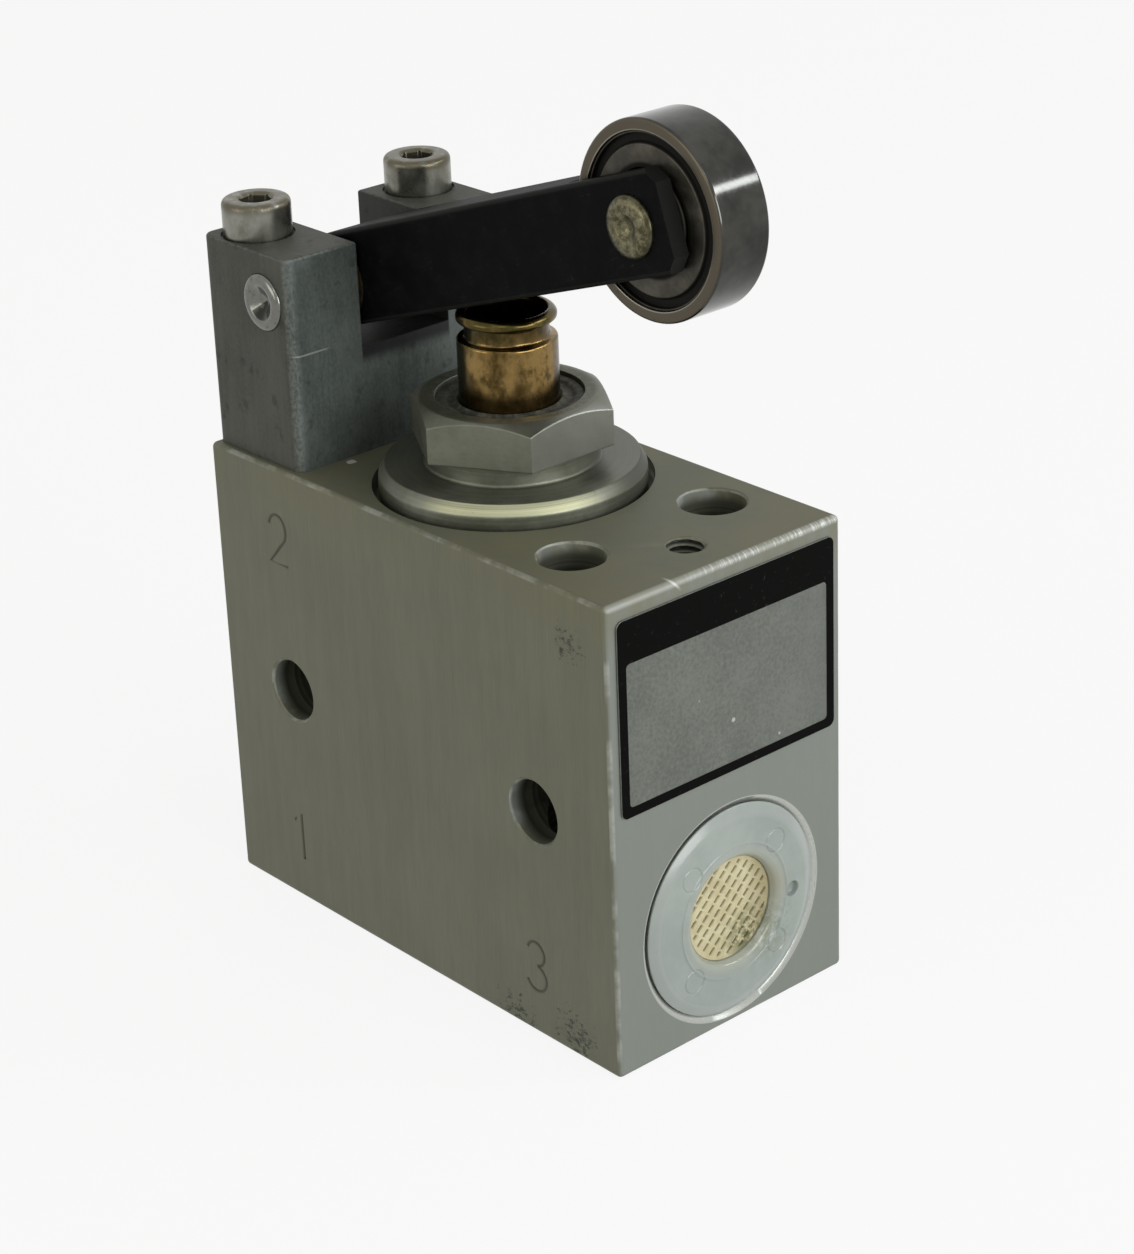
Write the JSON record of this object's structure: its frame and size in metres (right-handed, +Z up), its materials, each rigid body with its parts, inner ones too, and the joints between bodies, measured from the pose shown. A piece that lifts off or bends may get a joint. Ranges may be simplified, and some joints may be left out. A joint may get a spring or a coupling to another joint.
{
  "type": "pneumatic limit switch",
  "caption": "Roller lever valve in a metal block: a bearing roller on a hinged lever presses a sprung plunger that slides a spool between threaded ports.",
  "frame": {"origin": "centre of the base face of the block", "axes": "+Z up along the plunger, +X towards the label face with the exhaust, -Y towards the side face seen in the picture"},
  "size_m": [0.0637, 0.0306, 0.0912],
  "materials": {
    "anodised_block": "champagne grey anodised, satin with fine brushing",
    "label_foil": "printed foil, silver with a black head and border",
    "turned_aluminium": "turned, bright edges",
    "nitrile": "matt black",
    "zinc_casting": "grainy dark grey die casting",
    "steel_screw": "stained steel",
    "steel_pin": "dull ground steel",
    "brass_cage": "turned brass",
    "plug_plastic": "pale grey moulding",
    "filter_cream": "cream filter mesh",
    "felt": "pressed felt",
    "black_oxide": "black oxide, worn at the edges",
    "bronze_bush": "sintered bronze",
    "bearing_steel": "ground steel",
    "shield_steel": "pressed steel sheet",
    "cage_steel": "pressed steel",
    "bronze": "turned bronze, streaked",
    "spring_steel": "drawn wire"
  },
  "bodies": {
    "body": {"valve_body": "anodised_block", "data_label": "label_foil", "top_insert": "turned_aluminium", "insert_o_ring": "nitrile", "wiper_ring": "nitrile", "rod_seal": "nitrile", "lever_bracket": "zinc_casting", "bracket_screws": "steel_screw", "pivot_pin": "steel_pin", "valve_cage": "brass_cage", "cage_o_rings": "nitrile", "exhaust_plug": "plug_plastic", "filter_mesh": "filter_cream", "exhaust_felt": "felt"},
    "lever": {"lever_channel": "black_oxide", "pivot_bush": "bronze_bush", "roller_pin": "steel_pin", "roller_washers": "steel_pin", "bearing_inner_ring": "bearing_steel"},
    "roller": {"bearing_outer_ring": "bearing_steel", "bearing_shields": "shield_steel"},
    "ball_cage": {"bearing_balls": "bearing_steel", "bearing_cage": "cage_steel"},
    "plunger": {"plunger": "bronze", "valve_spool": "bearing_steel", "spool_pin": "steel_pin", "plunger_spring": "spring_steel"}
  },
  "joints": [
    {"name": "plunger_travel", "type": "slide", "parent": "body", "child": "plunger", "axis": [0, 0, -1], "range_m": [0, 0.0041], "stiffness_N_per_m": 2500, "springref_m": -0.001, "deforming": ["plunger_spring"]},
    {"name": "lever_swing", "type": "hinge", "parent": "body", "child": "lever", "pos_m": [-0.0202, 0, 0.0667], "axis": [0, 1, 0], "range_deg": [0, 14.5]},
    {"name": "roller_spin", "type": "hinge", "parent": "lever", "child": "roller", "pos_m": [0.02403, 0, 0.08167], "axis": [0, 1, 0], "continuous": true},
    {"name": "cage_spin", "type": "hinge", "parent": "lever", "child": "ball_cage", "pos_m": [0.02403, 0, 0.08167], "axis": [0, 1, 0], "continuous": true}
  ],
  "couplings": [
    {"joint": "lever_swing", "follows": "plunger_travel", "rad_per_m": 59.17},
    {"joint": "cage_spin", "follows": "roller_spin", "ratio": 0.64}
  ]
}
